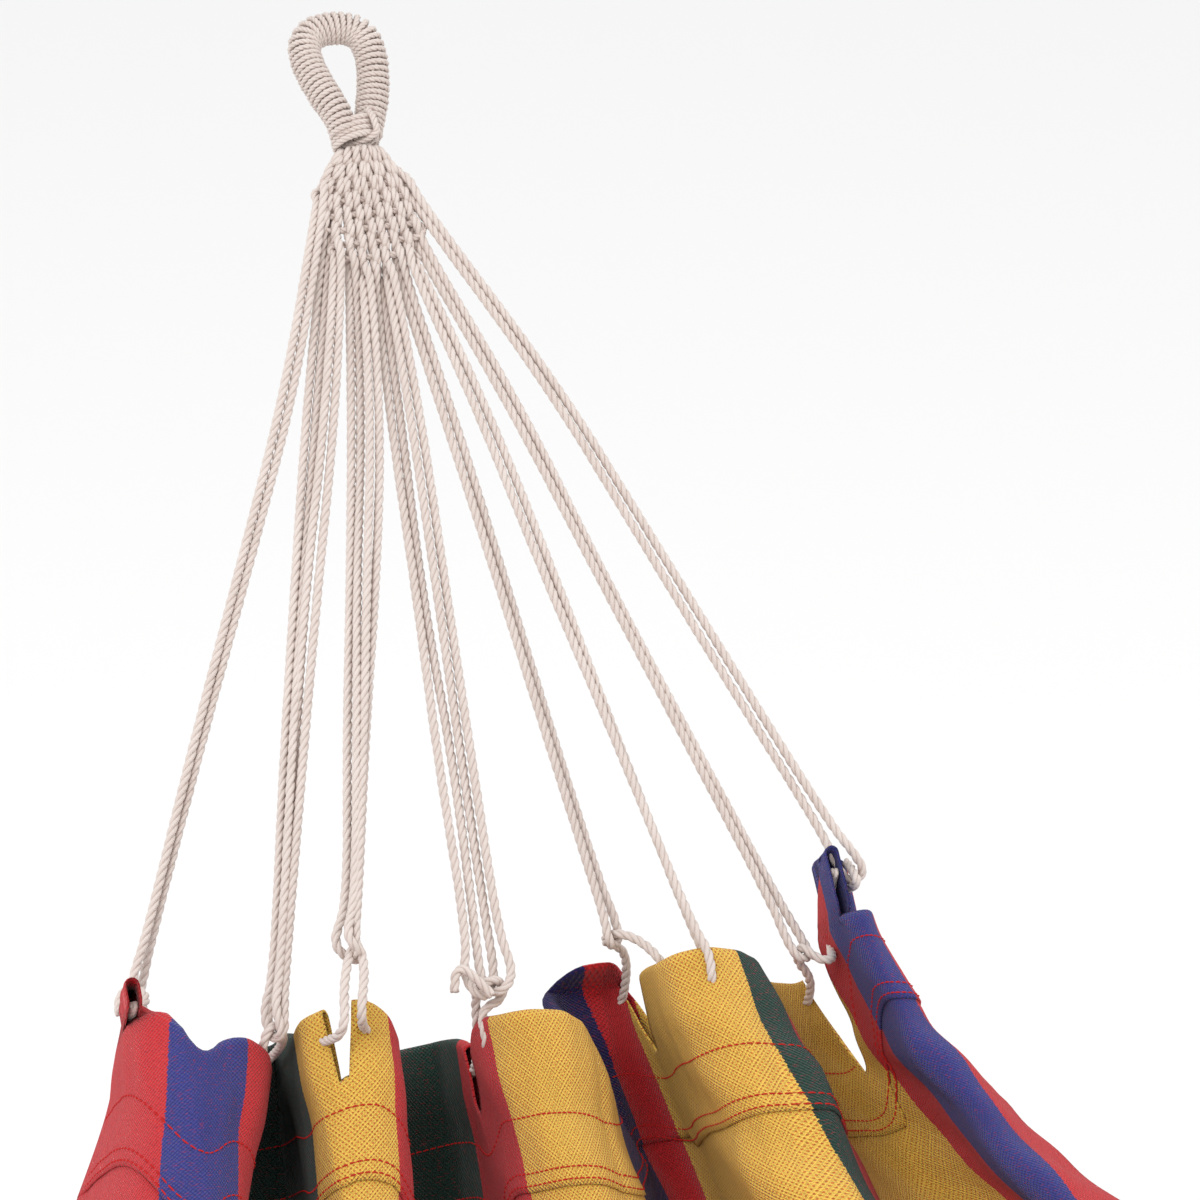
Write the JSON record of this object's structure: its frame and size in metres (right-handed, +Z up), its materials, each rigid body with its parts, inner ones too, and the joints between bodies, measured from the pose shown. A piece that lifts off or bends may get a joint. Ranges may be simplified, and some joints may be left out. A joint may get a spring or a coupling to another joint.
{
  "type": "cloth hammock",
  "caption": "Striped cotton cloth hammock hung between two hooks by wrapped rope eyes, woven clew mats and fanned pairs of cords looped to its hems.",
  "frame": {"origin": "seat of the hook inside the top of the head eye", "axes": "+X along the hammock from the head hook to the foot hook, +Y across the bed, +Z up"},
  "size_m": [2.5562, 0.6893, 0.9206],
  "materials": {
    "striped_cloth": "woven cotton in red, blue, green and yellow stripes",
    "cotton_rope": "natural undyed three-strand cotton rope"
  },
  "bodies": {
    "head_eye": {"head_eye_core": "cotton_rope", "head_eye_wrap": "cotton_rope", "head_throat_seizing": "cotton_rope"},
    "bed": {"bed_cloth": "striped_cloth", "head_clew_mat": "cotton_rope", "head_hem_cord": "cotton_rope", "head_cord_1": "cotton_rope", "head_cord_2": "cotton_rope", "head_cord_3": "cotton_rope", "head_cord_4": "cotton_rope", "head_cord_5": "cotton_rope", "head_cord_6": "cotton_rope", "head_cord_7": "cotton_rope", "head_cord_8": "cotton_rope", "head_cord_9": "cotton_rope", "head_cord_10": "cotton_rope", "head_cord_11": "cotton_rope", "foot_clew_mat": "cotton_rope", "foot_hem_cord": "cotton_rope", "foot_cord_1": "cotton_rope", "foot_cord_2": "cotton_rope", "foot_cord_3": "cotton_rope", "foot_cord_4": "cotton_rope", "foot_cord_5": "cotton_rope", "foot_cord_6": "cotton_rope", "foot_cord_7": "cotton_rope", "foot_cord_8": "cotton_rope", "foot_cord_9": "cotton_rope", "foot_cord_10": "cotton_rope", "foot_cord_11": "cotton_rope"},
    "foot_eye": {"foot_eye_core": "cotton_rope", "foot_eye_wrap": "cotton_rope", "foot_throat_seizing": "cotton_rope"}
  },
  "joints": [
    {"name": "swing", "type": "hinge", "parent": "head_eye", "child": "bed", "pos_m": [0.0446, 0, -0.04307], "axis": [1, 0, 0], "range_deg": [-35, 35]},
    {"name": "foot_eye_turn", "type": "hinge", "parent": "bed", "child": "foot_eye", "pos_m": [2.47897, 0, -0.04307], "axis": [1, 0, 0], "range_deg": [-35, 35]}
  ],
  "couplings": [
    {"joint": "foot_eye_turn", "follows": "swing", "ratio": -1}
  ]
}
